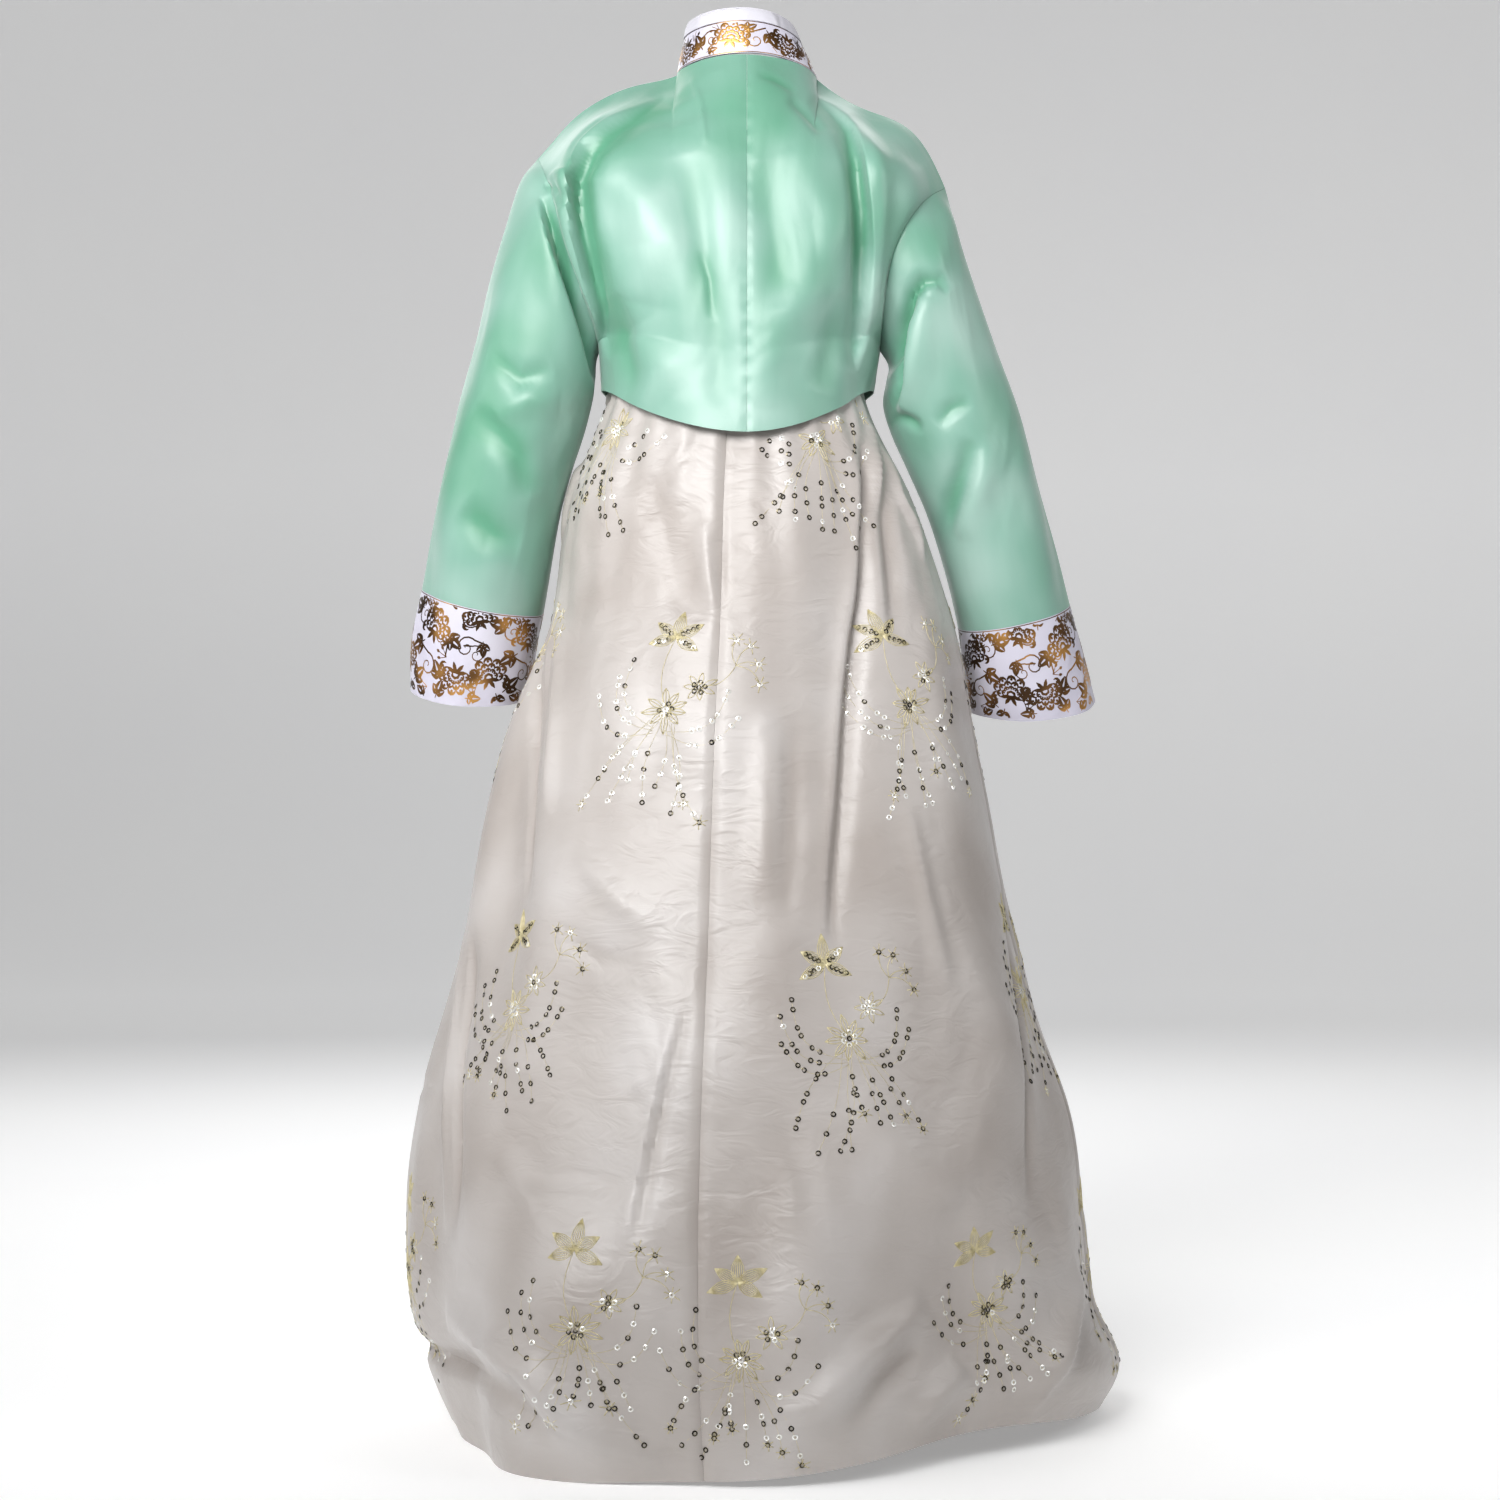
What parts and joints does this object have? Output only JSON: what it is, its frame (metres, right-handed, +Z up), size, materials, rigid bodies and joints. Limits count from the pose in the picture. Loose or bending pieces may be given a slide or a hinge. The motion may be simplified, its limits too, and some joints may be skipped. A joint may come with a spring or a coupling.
{
  "type": "korean hanbok",
  "caption": "Short mint satin jacket with printed collar and cuffs over a full-length ivory skirt, worn shape, hollow.",
  "frame": {"origin": "the middle of the root of the neck, level with the shoulder line, where the wearer's shoulders carry the garment", "axes": "+Z up, -Y the front, +X the wearer's left"},
  "size_m": [0.7137, 0.6556, 1.3915],
  "materials": {
    "mint_satin": "mint green satin",
    "gold_print": "white satin with a gold and brown floral print",
    "white_cloth": "plain white cloth",
    "ivory_satin": "ivory satin with embroidered and sequinned sprays"
  },
  "bodies": {
    "root": {"collar": "gold_print", "collar_edge": "white_cloth", "cuff_left": "gold_print", "cuff_right": "gold_print", "jacket_back_left": "mint_satin", "jacket_back_right": "mint_satin", "jacket_front_left": "mint_satin", "jacket_front_right": "mint_satin", "jacket_overlap": "mint_satin", "ribbon_knot": "mint_satin", "ribbon_loop": "mint_satin", "ribbon_tail_long": "mint_satin", "ribbon_tail_short": "mint_satin", "skirt_back_left": "ivory_satin", "skirt_back_right": "ivory_satin", "skirt_band": "white_cloth", "skirt_front_left": "ivory_satin", "skirt_front_right": "ivory_satin", "skirt_strap_left": "white_cloth", "skirt_strap_right": "white_cloth", "sleeve_left": "mint_satin", "sleeve_right": "mint_satin"}
  },
  "joints": []
}
